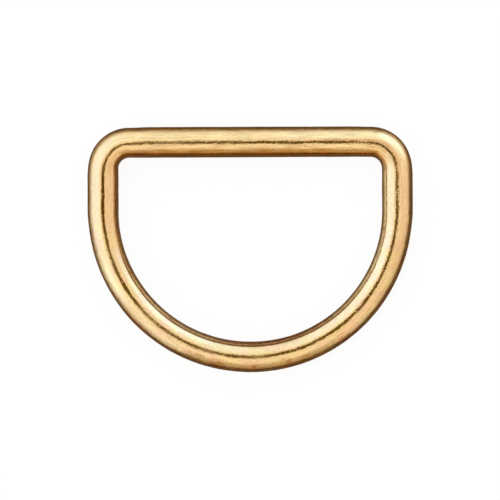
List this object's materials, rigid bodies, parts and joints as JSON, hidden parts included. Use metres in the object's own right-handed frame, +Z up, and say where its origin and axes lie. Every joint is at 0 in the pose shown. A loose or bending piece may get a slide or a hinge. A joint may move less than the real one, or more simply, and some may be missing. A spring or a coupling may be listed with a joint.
{
  "type": "d ring",
  "caption": "D-shaped ring of round brass wire: a straight bar that a strap loops round, and a half-round bow that takes a clip or a second strap.",
  "frame": {"origin": "under the middle of the ring's outline, on the plane that the ring lies on", "axes": "+X along the straight bar, +Y from the bow to the bar, +Z up, square to the ring's plane"},
  "size_m": [0.0314, 0.0238, 0.003],
  "materials": {
    "brass": "tumbled and semi-bright, with a fine grain along the wire, small pits and a faint warm tarnish"
  },
  "bodies": {
    "root": {"d_ring": "brass"}
  },
  "joints": []
}
